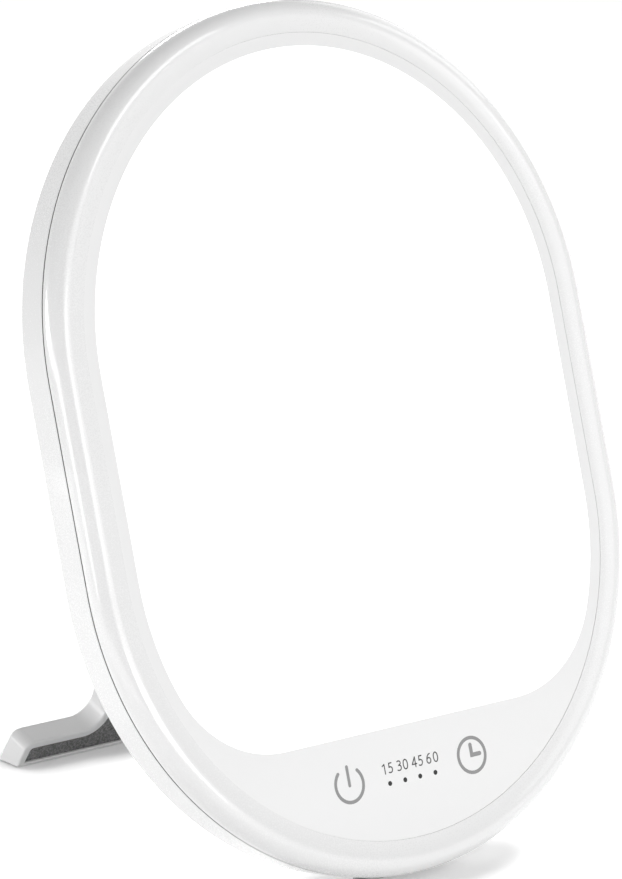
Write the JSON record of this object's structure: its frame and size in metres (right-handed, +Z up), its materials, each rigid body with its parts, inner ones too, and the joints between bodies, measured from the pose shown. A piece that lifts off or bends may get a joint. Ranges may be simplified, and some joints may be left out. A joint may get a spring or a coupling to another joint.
{
  "type": "light therapy lamp",
  "caption": "Oval light therapy lamp: a slim tilted head with a lit window above touch keys and timer dots, leaning back on a hinged T-shaped leg.",
  "frame": {"origin": "the middle of the base pad's underside, on the surface the lamp stands on", "axes": "+Z up, -Y the lit side that faces the user, +X the user's right; the head leans back 20.5 degrees and the leg stands open"},
  "size_m": [0.195, 0.1512, 0.2421],
  "materials": {
    "white_shell": "gloss",
    "printed_panel": "gloss",
    "dark_insert": "matte",
    "dark_rubber": "matte",
    "tape_foam": "matte",
    "opal_diffuser": "satin",
    "white_inner": "matte",
    "white_film": "satin",
    "led_resin": "satin",
    "board_aluminium": "satin",
    "board_green": "satin",
    "black_component": "matte",
    "lead_sleeve": "satin",
    "pad_rubber": "matte",
    "black_guide": "matte",
    "black_socket": "satin",
    "plated_pin": "polished",
    "zinc_steel": "satin",
    "steel_pin": "polished",
    "washer_nylon": "satin"
  },
  "bodies": {
    "head": {"base_pad": "dark_rubber", "board_components": "black_component", "board_screws": "zinc_steel", "bracket_screws": "zinc_steel", "case_screws": "zinc_steel", "control_board": "board_green", "control_screws": "zinc_steel", "dc_socket": "black_socket", "diffuser_sheet": "opal_diffuser", "face_panel": "printed_panel", "friction_washers": "washer_nylon", "front_frame": "white_shell", "hinge_bracket": "white_shell", "hinge_pin": "steel_pin", "indicator_guide": "black_guide", "indicator_leds": "led_resin", "lamp_leads": "lead_sleeve", "led_board": "board_aluminium", "leds": "led_resin", "light_box": "white_inner", "panel_tape": "tape_foam", "rear_cover": "white_shell", "reflector_sheet": "white_film", "socket_pin": "plated_pin", "touch_pads": "pad_rubber"},
    "stand": {"stand_leg": "white_shell", "leg_insert": "dark_insert", "foot_pads": "dark_rubber"}
  },
  "joints": [
    {"name": "stand_hinge", "type": "hinge", "parent": "head", "child": "stand", "pos_m": [0, 0.07435, 0.17957], "axis": [-1, 0, 0], "range_deg": [0, 38.5]}
  ]
}
